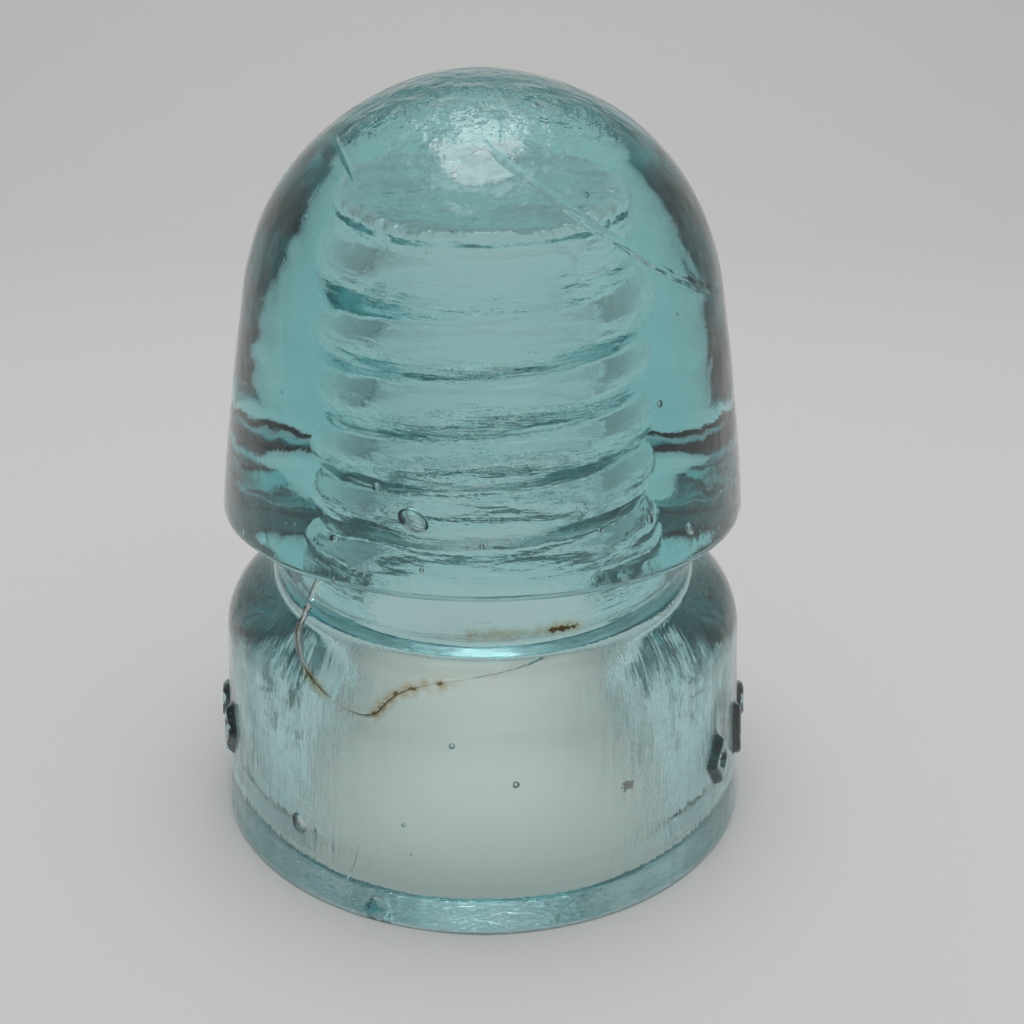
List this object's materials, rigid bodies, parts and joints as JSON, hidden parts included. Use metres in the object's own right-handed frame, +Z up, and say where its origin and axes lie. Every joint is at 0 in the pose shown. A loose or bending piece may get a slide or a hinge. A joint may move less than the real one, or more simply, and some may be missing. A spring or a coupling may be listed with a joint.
{
  "type": "glass pin insulator",
  "caption": "One-piece pressed glass pin insulator: domed crown, wire groove, single skirt and an internal tapered thread for a wooden pin.",
  "frame": {"origin": "centre of the ring that the skirt stands on", "axes": "+Z up along the axis, from the open skirt to the crown; -Y is the mould seam side"},
  "size_m": [0.07, 0.0698, 0.0917],
  "materials": {
    "aqua_glass": "pressed, glossy, bubbly, faintly rippled"
  },
  "bodies": {
    "root": {"glass_insulator": "aqua_glass"}
  },
  "joints": []
}
